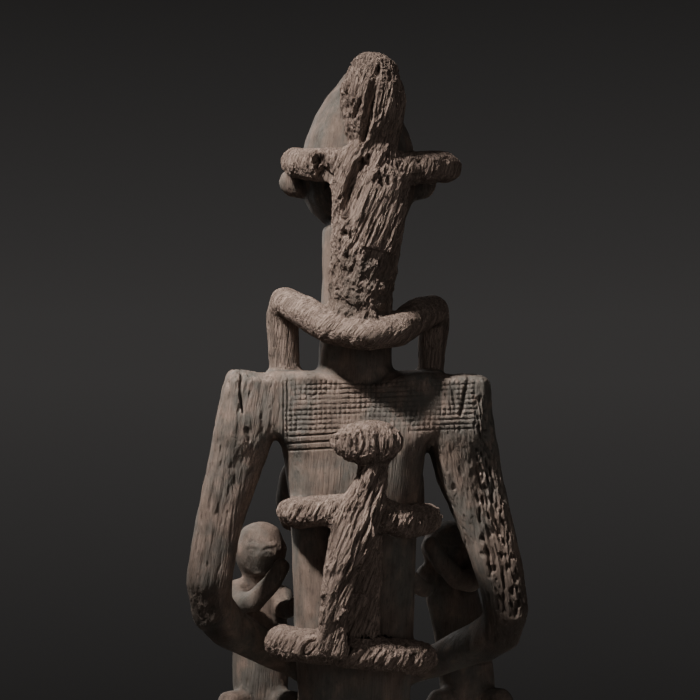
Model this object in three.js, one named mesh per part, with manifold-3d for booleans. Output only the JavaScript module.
// Carved ancestor figure: a mother on a round stool with four children clinging to her, cut from one log.
// Each carved member is its own solid. Members of one limb meet face to face, and a member that lies on
// another is hollowed to fit it. Millimetres, +Z up, origin at the middle of the base's underside, and the
// mother faces -Y, so her left side is +X.
import * as THREE from "three";
import { mergeVertices } from "three/addons/utils/BufferGeometryUtils.js";
import Module from "manifold-3d";

const wasm = await Module();
wasm.setup();

// Driving dimensions
const GAP = 0.3; // clearance between neighbouring members
const BASE_RADIUS = 128;
const BASE_TOP = 24;
const STOOL_Y = 30; // the stool stands behind the middle of the base
const SEAT_RADIUS = 60;
const SEAT_THICKNESS = 14;
const SEAT_TOP = 128;
const TRUNK_Y = 25; // depth of the mother's spine line
const WAIST_HEIGHT = 176;
const ARMPIT_HEIGHT = 344;
const SHOULDER_TOP = 404;
const CHIN_HEIGHT = 499;
const LAP_HEIGHT = 168; // top of the mother's thighs, where the two front children sit

const X_AXIS = new THREE.Vector3(1, 0, 0);
const Z_AXIS = new THREE.Vector3(0, 0, 1);
const DOME_RINGS = 2;
const TRUNK_SECTION = { sides: 24, square: [2, 3] }; // round at the seat, boxier towards the chest

const FINISHES = {
  patinated_wood: { color: 0x6b6258, roughness: 0.72 },
  weathered_wood: { color: 0x8a776b, roughness: 0.92 },
  base_wood: { color: 0x5a5048, roughness: 0.8 },
};

// ---------------------------------------------------------------- solids

function solidOf(geometry) {
  geometry.deleteAttribute("normal");
  geometry.deleteAttribute("uv");
  const merged = mergeVertices(geometry, 1e-4);
  return new wasm.Manifold(
    new wasm.Mesh({
      numProp: 3,
      vertProperties: merged.attributes.position.array,
      triVerts: new Uint32Array(merged.index.array),
    }),
  );
}

function geometryOf(solid) {
  const mesh = solid.getMesh();
  const geometry = new THREE.BufferGeometry();
  geometry.setAttribute("position", new THREE.BufferAttribute(mesh.vertProperties, 3));
  geometry.setIndex(new THREE.BufferAttribute(mesh.triVerts, 1));
  geometry.computeVertexNormals();
  return geometry;
}

/** The part of direction that is square to along, at length one. */
function squareTo(direction, along) {
  return direction.clone().addScaledVector(along, -direction.dot(along)).normalize();
}

/** One closed ring of points. square is the superellipse power: 2 is an ellipse, 4 a rounded box. */
function ringPoints(middle, wide, deep, halfWidth, halfDepth, sides, square) {
  const points = [];
  for (let j = 0; j < sides; j++) {
    const angle = (j / sides) * 2 * Math.PI;
    const c = Math.cos(angle);
    const s = Math.sin(angle);
    const u = Math.sign(c) * Math.abs(c) ** (2 / square) * halfWidth;
    const v = Math.sign(s) * Math.abs(s) ** (2 / square) * halfDepth;
    points.push(middle.clone().addScaledVector(wide, u).addScaledVector(deep, v));
  }
  return points;
}

/**
 * A closed body through stations [x, y, z, half-width, half-depth], from one station index to another.
 * dome gives how far each end bulges past its station, and 0 leaves it flat. square gives the section's
 * superellipse power at the first and last station. An end inside the limb stops half a gap short, so that
 * the next member of the limb can start there.
 */
function loft(stations, options, grow = 0) {
  const last = stations.length - 1;
  const { sides = 12, steps = 1, from = 0, to = last, across = X_AXIS } = options;
  const { dome = [0, 0], square = [2, 2] } = options;
  const path = new THREE.CatmullRomCurve3(stations.map(([x, y, z]) => new THREE.Vector3(x, y, z)));
  const girth = new THREE.CatmullRomCurve3(stations.map(([, , , a, b]) => new THREE.Vector3(a, b, 0)));
  const count = Math.max(1, Math.round((to - from) * steps));
  const rings = [];
  let wide = across;
  for (let i = 0; i <= count; i++) {
    const t = (from + ((to - from) * i) / count) / last;
    const along = path.getTangent(t);
    wide = squareTo(wide, along);
    const deep = along.clone().cross(wide);
    const size = girth.getPoint(t);
    const middle = path.getPoint(t);
    const power = THREE.MathUtils.lerp(square[0], square[1], t);
    const ring = (shift, scale) =>
      ringPoints(
        middle.clone().addScaledVector(along, shift),
        wide,
        deep,
        (size.x + grow) * scale,
        (size.y + grow) * scale,
        sides,
        power,
      );
    if (i === 0) rings.push(...endRings(ring, dome[0], from > 0, grow, -1).reverse());
    else if (i === count) rings.push(...endRings(ring, dome[1], to < last, grow, 1));
    else rings.push(ring(0, 1));
  }
  return solidOf(skinOf(rings));
}

/** The rings that finish one end of a loft, from the end station outwards. way is -1 at its start. */
function endRings(ring, dome, inside, grow, way) {
  const shift = way * (inside ? grow - GAP / 2 : grow);
  if (!dome || inside) return [ring(shift, 1)];
  const rings = [ring(0, 1)];
  for (let k = 1; k <= DOME_RINGS; k++) {
    const angle = (k / (DOME_RINGS + 0.6)) * (Math.PI / 2);
    rings.push(ring(way * (dome + grow) * Math.sin(angle), Math.cos(angle)));
  }
  return rings;
}

/** Triangles over rings of points, with a fan to close each end. */
function skinOf(rings) {
  const sides = rings[0].length;
  const centre = (ring) =>
    ring.reduce((sum, p) => sum.add(p), new THREE.Vector3()).divideScalar(sides);
  const points = [...rings.flat(), centre(rings[0]), centre(rings.at(-1))];
  const [startPole, endPole] = [points.length - 2, points.length - 1];
  const index = [];
  for (let j = 0; j < sides; j++) {
    const next = (j + 1) % sides;
    index.push(startPole, next, j);
    for (let i = 0; i < rings.length - 1; i++) {
      const here = i * sides;
      const above = here + sides;
      index.push(here + j, here + next, above + next);
      index.push(here + j, above + next, above + j);
    }
    const top = (rings.length - 1) * sides;
    index.push(endPole, top + j, top + next);
  }
  const geometry = new THREE.BufferGeometry().setFromPoints(points);
  geometry.setIndex(index);
  return geometry;
}

/** A turned body about a vertical axis at [x, y], through [radius, height] points. */
function turned(profile, x, y, grow = 0, segments = 36) {
  const bottom = profile[0][1] - grow;
  const top = profile.at(-1)[1] + grow;
  const outline = [
    new THREE.Vector2(0, bottom),
    ...profile.map(([radius, height], i) => {
      const end = i === 0 ? bottom : i === profile.length - 1 ? top : height;
      return new THREE.Vector2(radius + grow, end);
    }),
    new THREE.Vector2(0, top),
  ];
  const geometry = new THREE.LatheGeometry(outline, segments);
  geometry.rotateX(Math.PI / 2).translate(x, y, 0);
  return solidOf(geometry);
}

function ellipsoid([x, y, z], [rx, ry, rz], grow = 0) {
  const geometry = new THREE.SphereGeometry(1, 12, 8);
  geometry.scale(rx + grow, ry + grow, rz + grow).translate(x, y, z);
  return solidOf(geometry);
}

// ---------------------------------------------------------------- members

const figure = new THREE.Group();
const made = []; // every member so far: its name, its limb and its shape as a function of growth

/** The largest piece of a solid, which leaves out chips that a cut has freed. */
function mainPiece(solid) {
  return solid.decompose().sort((a, b) => b.volume() - a.volume())[0];
}

/** Adds a member, carved around every earlier member outside its own limb. */
function addMember(name, finish, shape, limb = name) {
  let solid = shape(0);
  for (const other of made) {
    if (other.limb === limb) continue;
    const room = other.shape(GAP);
    if (solid.intersect(room).volume() > 0) solid = solid.subtract(room);
  }
  const mesh = new THREE.Mesh(
    geometryOf(mainPiece(solid)),
    new THREE.MeshStandardMaterial({ ...FINISHES[finish], metalness: 0 }),
  );
  mesh.name = name;
  figure.add(mesh);
  made.push({ name, limb, shape });
}

/** Adds one limb as consecutive members: parts is a list of [name, last station]. */
function addLimb(limb, finish, stations, parts, options = {}) {
  let from = 0;
  for (const [name, to] of parts) {
    const stretch = { ...options, from, to };
    addMember(name, finish, (grow) => loft(stations, stretch, grow), limb);
    from = to;
  }
}

function addStool() {
  const columnTop = SEAT_TOP - SEAT_THICKNESS;
  const height = columnTop - BASE_TOP;
  const base = [
    [BASE_RADIUS - 3, 0],
    [BASE_RADIUS, 4],
    [BASE_RADIUS, BASE_TOP - 6],
    [BASE_RADIUS - 5, BASE_TOP],
  ];
  const column = [
    [42, BASE_TOP + GAP],
    [33, BASE_TOP + 0.2 * height],
    [27, BASE_TOP + 0.5 * height],
    [33, BASE_TOP + 0.8 * height],
    [42, columnTop - GAP],
  ];
  const seat = [
    [SEAT_RADIUS - 4, columnTop],
    [SEAT_RADIUS, columnTop + 4],
    [SEAT_RADIUS, SEAT_TOP - 3],
    [SEAT_RADIUS - 3, SEAT_TOP],
  ];
  addMember("base", "base_wood", (grow) => turned(base, 0, 0, grow, 48));
  addMember("stool_column", "base_wood", (grow) => turned(column, 0, STOOL_Y, grow, 28));
  addMember("stool_seat", "base_wood", (grow) => turned(seat, 0, STOOL_Y, grow, 32));
}

function addTrunk() {
  const pelvisAndTorso = [
    [0, TRUNK_Y + 4, SEAT_TOP + GAP, 45, 38],
    [0, TRUNK_Y + 3, SEAT_TOP + 20, 49, 40],
    [0, TRUNK_Y + 1, WAIST_HEIGHT, 38, 33],
    [0, TRUNK_Y, 192, 36, 31],
    [0, TRUNK_Y, 232, 38.5, 32.5],
    [0, TRUNK_Y, 282, 39.5, 33],
    [0, TRUNK_Y, 318, 41.5, 33],
    [0, TRUNK_Y, ARMPIT_HEIGHT, 45, 33],
  ];
  addLimb("trunk", "patinated_wood", pelvisAndTorso, [["pelvis", 2], ["torso", 7]], TRUNK_SECTION);
  const chest = [
    [0, TRUNK_Y, ARMPIT_HEIGHT + GAP, 45, 33],
    [0, TRUNK_Y, ARMPIT_HEIGHT + 12, 47, 32],
    [0, TRUNK_Y, ARMPIT_HEIGHT + 22, 55, 31],
    [0, TRUNK_Y, ARMPIT_HEIGHT + 37, 60, 29.5],
    [0, TRUNK_Y, SHOULDER_TOP - 6, 60, 28],
    [0, TRUNK_Y, SHOULDER_TOP, 57, 25],
  ];
  addMember("chest", "patinated_wood", (grow) => loft(chest, { sides: 28, square: [3, 5] }, grow));
}

/** The shaft of the neck leans a little to the right as it rises, and the head leans further. */
function addHead() {
  const neck = [
    [-1, 24, SHOULDER_TOP + GAP, 24.5, 24],
    [-1, 24, SHOULDER_TOP + 12, 23.5, 23],
    [-2, 23, 450, 23, 22.5],
    [-2, 21, CHIN_HEIGHT - GAP, 22, 22.5],
  ];
  addMember("neck", "patinated_wood", (grow) => loft(neck, { sides: 20 }, grow));
  const skull = [
    [-3, 4, CHIN_HEIGHT, 21, 30],
    [-4, 4, CHIN_HEIGHT + 8, 31, 37],
    [-4, 5, CHIN_HEIGHT + 19, 36.5, 41],
    [-4, 6, CHIN_HEIGHT + 34, 38.5, 42],
    [-4, 8, CHIN_HEIGHT + 48, 37, 41],
    [-4, 8, CHIN_HEIGHT + 58, 34.5, 40],
    [-4, 9, CHIN_HEIGHT + 71, 29, 37],
    [-5, 10, CHIN_HEIGHT + 84, 21.5, 31],
    [-6, 10, CHIN_HEIGHT + 93, 15, 24],
  ];
  const nose = [
    [-4, -33, CHIN_HEIGHT + 50, 3.5, 4],
    [-4, -37, CHIN_HEIGHT + 38, 4.5, 6],
    [-4, -37, CHIN_HEIGHT + 25, 7, 7],
  ];
  addMember("head", "patinated_wood", (grow) =>
    loft(skull, { sides: 20, dome: [0, 11] }, grow).add(
      loft(nose, { sides: 8, dome: [2, 2] }, grow),
    ),
  );
  addMember("left_ear", "patinated_wood", (grow) => ellipsoid([36, 4, 529], [13, 7, 10.5], grow));
  addMember("right_ear", "patinated_wood", (grow) => ellipsoid([-43, 4, 528], [13.5, 7, 10.5], grow));
}

/** Upper arm, forearm and hand: the hands meet low on the belly. The two elbows hang at unequal heights. */
function addArm(side, upper, lower) {
  const stations = [...upper, ...lower];
  const elbow = upper.length - 0.5;
  const wrist = stations.length - 2.5;
  const parts = [
    [`${side}_upper_arm`, elbow],
    [`${side}_forearm`, wrist],
    [`${side}_hand`, stations.length - 1],
  ];
  addLimb(`${side}_arm`, "patinated_wood", stations, parts, { sides: 14, dome: [3, 5], square: [3.6, 2] });
}

function addArms() {
  addArm(
    "left",
    [
      [63, 26, 400, 19, 24.5],
      [66, 26, 386, 20.5, 26],
      [73, 27, 358, 19, 23.5],
      [79.5, 28, 336, 16.5, 19],
      [87, 29, 308, 15, 16.5],
      [92, 30, 282, 14.5, 15],
      [94, 29, 258, 14, 14.5],
    ],
    [
      [88, 19, 243, 14, 13],
      [74, 6, 231, 12.5, 12],
      [56, -7, 218, 10.5, 10.5],
      [40, -13, 208, 9, 8.5],
      [27, -14, 202, 11, 6],
      [14, -14, 198, 9, 4.5],
    ],
  );
  addArm(
    "right",
    [
      [-70, 26, 399, 17.5, 24.5],
      [-70, 26, 384, 18.5, 26],
      [-70, 27, 354, 22.5, 23.5],
      [-76, 27, 335, 20.5, 21],
      [-82, 28, 318, 18.5, 19],
      [-92, 29, 284, 16, 16.5],
      [-98, 30, 258, 14.5, 15.5],
      [-98.5, 28, 242, 14, 15],
    ],
    [
      [-92, 18, 230, 14, 13.5],
      [-78, 5, 221, 12.5, 12],
      [-61, -7, 211, 10.5, 10.5],
      [-44, -13, 203, 9, 8.5],
      [-30, -14, 197, 11, 6],
      [-16, -14, 193, 9, 4.5],
    ],
  );
}

function addBreasts() {
  for (const [side, way] of [["left", 1], ["right", -1]]) {
    const breast = [
      [way * 26, 2, 346, 15, 12],
      [way * 31, -8, 330, 18, 15],
      [way * 36, -19, 314, 15, 13],
      [way * 39, -27, 302, 9, 8],
    ];
    addMember(`${side}_breast`, "patinated_wood", (grow) => loft(breast, { dome: [6, 7] }, grow));
  }
}

/** Thigh, shin and foot of one side. knee and ankle are their distances from the middle. */
function addLeg(side, way, knee, ankle) {
  const leg = [
    [way * 30, 16, 149, 20, 17],
    [way * (knee - 14), -16, 150, 19.5, 17],
    [way * (knee - 4), -46, 150.5, 18.5, 17],
    [way * knee, -64, 145, 17, 15.5],
    [way * knee, -70, 124, 14.5, 13.5],
    [way * (knee + ankle) / 2, -68, 84, 13.5, 13.5],
    [way * ankle, -64, 46, 11.5, 12],
  ];
  const parts = [[`${side}_thigh`, 3], [`${side}_shin`, 6]];
  addLimb(`${side}_leg`, "patinated_wood", leg, parts, { sides: 16, dome: [8, 0] });
  const foot = [
    [way * ankle, -54, 34, 11, 10],
    [way * ankle, -69, 35, 13, 11],
    [way * ankle, -86, 31.5, 14.5, 7.5],
    [way * ankle, -96, 29.5, 13, 5.5],
  ];
  const section = { dome: [5, 3], square: [2, 2.8] };
  addMember(`${side}_foot`, "patinated_wood", (grow) => loft(foot, section, grow));
}

/** The child astride her neck: its trunk runs up the back of the neck and head. */
function addRider() {
  const trunk = [
    [-1, 58, 437, 19.5, 13],
    [-3, 59, 462, 21, 14.5],
    [-5, 61, 481, 21.4, 16],
    [-7, 61, 500, 22.6, 17],
    [-8, 61, 525, 25, 16],
    [-8, 60, 537, 22.5, 14.5],
    [-10, 60, 548, 14.5, 13],
    [-10, 60, 559, 17.5, 17],
    [-10, 61, 572, 20, 19],
    [-9, 61, 583, 20.2, 18.5],
    [-10, 60, 594, 15.5, 15],
  ];
  const parts = [["rider_torso", 6], ["rider_head", 10]];
  addLimb("rider_trunk", "weathered_wood", trunk, parts, { sides: 16, dome: [4, 11] });
  const arms = {
    left: [
      [10, 59, 535, 11, 10],
      [24, 54, 535, 10.5, 10],
      [34, 42, 537, 10, 9.5],
      [38, 26, 540, 9.5, 9],
      [37, 12, 541, 8.5, 8],
    ],
    right: [
      [-26, 59, 532, 11, 11],
      [-44, 53, 534, 10.5, 10.5],
      [-56, 41, 536, 9.5, 9.5],
      [-61, 26, 537, 9, 9],
      [-60, 12, 536, 8, 8],
    ],
  };
  const legs = {
    left: [
      [-5, 68, 427, 9.5, 10.5],
      [14, 63, 431, 10, 10.5],
      [31, 44, 440, 11, 11],
      [42, 29, 451, 11, 11],
      [46, 19, 445, 10.8, 10.5],
      [45.5, 17, 424, 10.8, 10],
      [44.5, 16, SHOULDER_TOP + GAP, 10.8, 10],
    ],
    right: [
      [-5 - GAP, 68, 427, 9.5, 10.5],
      [-23, 63, 430, 10.5, 10.5],
      [-38, 44, 438, 11.5, 11],
      [-49, 29, 446, 11.5, 11],
      [-53, 19, 439, 10.5, 10.5],
      [-52, 17, 423, 9.5, 9.5],
      [-51, 16, SHOULDER_TOP + GAP, 8.5, 8.5],
    ],
  };
  for (const side of ["left", "right"]) {
    addMember(`rider_${side}_arm`, "weathered_wood", (grow) =>
      loft(arms[side], { sides: 12, dome: [4, 7], across: Z_AXIS }, grow),
    );
    const legParts = [[`rider_${side}_thigh`, 3.4], [`rider_${side}_shin`, 6]];
    const options = { sides: 12, dome: [4, 0], across: Z_AXIS };
    addLimb(`rider_${side}_leg`, "weathered_wood", legs[side], legParts, options);
  }
}

/** The child on her back hugs her with both arms and both legs, and turns its face to its left. */
function addBackChild() {
  const trunk = [
    [17, 80, 230, 9, 11],
    [15.5, 80, 256, 8, 11.5],
    [12, 80, 278, 9.5, 13],
    [6.5, 80, 296, 12.5, 14],
    [-1, 80, 318, 13.5, 13],
    [-8, 81, 338, 10, 10.5],
    [-9, 83, 348, 9.5, 10],
  ];
  const web = [
    [0, 66, 229, 14, 12],
    [-2, 67, 275, 13, 12],
    [-2, 67, 312, 13, 12],
  ];
  const rib = [
    [22, 79, 238, 5, 7],
    [10, 79, 252, 4.5, 7],
    [-2, 78, 267, 4, 6],
  ];
  // The head is a plain egg on its side, turned to the left: its small end is the face.
  const skull = [0.06, 0.2, 0.4, 0.6, 0.8, 0.94].map((share) => {
    const halfWidth = (12 + 4 * share) * 2 * Math.sqrt(share * (1 - share));
    return [17 - 43 * share, 86, 361, halfWidth, halfWidth];
  });
  const body = [
    [trunk, { sides: 14, square: [3.4, 2.4] }],
    [web, { sides: 12, square: [2.6, 2.6] }],
    [rib, { sides: 8 }],
  ];
  addMember("back_child_torso", "weathered_wood", (grow) =>
    body.map(([stations, options]) => loft(stations, options, grow)).reduce((whole, part) => whole.add(part)),
  );
  addMember("back_child_head", "weathered_wood", (grow) =>
    loft(skull, { sides: 16, dome: [3.5, 3.5], across: Z_AXIS }, grow),
  );
  const limbs = {
    left_arm: [
      [8, 77, 319, 10, 12],
      [24, 72, 318, 9.5, 13],
      [36, 63, 316, 9.5, 12],
      [41, 52, 315.5, 9, 9],
      [42, 42, 315, 8, 8],
    ],
    right_arm: [
      [-14, 77, 316, 10.5, 12],
      [-28, 71, 311, 10.5, 13],
      [-40, 61, 311, 10.5, 11],
      [-45, 51, 311, 9.5, 9],
      [-45, 42, 311, 8.5, 8],
    ],
    left_leg: [
      [10, 73, 232, 9.5, 13],
      [28, 70, 234, 10.5, 14],
      [42, 62, 233.5, 10.5, 12],
      [48, 50, 233, 10.5, 10],
      [46, 38, 233, 9, 9],
    ],
    right_leg: [
      [10 - GAP, 73, 231, 9.5, 13],
      [-14, 71, 228, 10.5, 14],
      [-34, 62, 225, 10.5, 13],
      [-41, 51, 222, 10, 9.5],
      [-43, 38, 221, 9, 8.5],
    ],
  };
  for (const [name, stations] of Object.entries(limbs)) {
    addMember(`back_child_${name}`, "weathered_wood", (grow) =>
      loft(stations, { sides: 12, dome: [3, 6], across: Z_AXIS }, grow),
    );
  }
}

/** A child astride one of her thighs, facing her, with a hand raised to her breast. lean is how far the
 * head stands inwards of the hips, and lift how far the arms stand above the left-hand child's. */
function addLapChild(side, way, middle, lean, lift) {
  const name = (piece) => `${side}_lap_child_${piece}`;
  const at = (out, y, z, a, b = a) => [way * (middle + out), y, z, a, b];
  const trunk = [
    at(0, -48, LAP_HEIGHT + GAP, 19, 14),
    at(0, -48, LAP_HEIGHT + 20, 19.5, 14.5),
    at(-0.3 * lean, -49, LAP_HEIGHT + 55, 19, 13.5),
    at(-0.8 * lean, -49, LAP_HEIGHT + 82, 18.5, 12.5),
    at(-lean, -48, LAP_HEIGHT + 92, 11, 11),
    at(-lean, -47, LAP_HEIGHT + 102, 16, 16),
    at(-lean, -46, LAP_HEIGHT + 113, 18.5, 19),
    at(-lean, -46, LAP_HEIGHT + 122, 14.5, 15),
  ];
  const parts = [[name("torso"), 4], [name("head"), 7]];
  addLimb(name("trunk"), "patinated_wood", trunk, parts, { sides: 14, dome: [0, 9] });
  const hand = (out, y, z, a) => at(out - lean, y, z + lift, a);
  const arms = {
    outer: [
      hand(14, -45, 254, 9),
      hand(14, -31, 245, 8.5),
      hand(4, -22, 248, 7.5),
      hand(-8, -18, 261, 6.5),
      hand(-15, -18, 273, 5.5),
    ],
    inner: [hand(-14, -45, 250, 8), hand(-17, -35, 240, 7), hand(-22, -22, 243, 6), hand(-27, -12, 250, 5)],
  };
  const legs = {
    outer: [at(9, -42, 177, 9), at(21, -28, 178, 8.5), at(26, -22, 166, 8), at(26, -23, 144, 6.5)],
    inner: [at(-9, -42, 177, 9), at(-22, -31, 178, 8), at(-30, -27, 165, 7), at(-31, -28, 144, 6)],
  };
  for (const [kind, limbs] of [["arm", arms], ["leg", legs]])
    for (const [place, stations] of Object.entries(limbs))
      addMember(name(`${place}_${kind}`), "patinated_wood", (grow) =>
        loft(stations, { sides: 8, dome: [3, 4] }, grow),
      );
}

addStool();
addTrunk();
addHead();
addArms();
addBreasts();
addLeg("left", 1, 62, 57);
addLeg("right", -1, 78, 67);
addRider();
addBackChild();
addLapChild("left", 1, 61, 0, 0);
addLapChild("right", -1, 83, 14, 14);

export default figure;
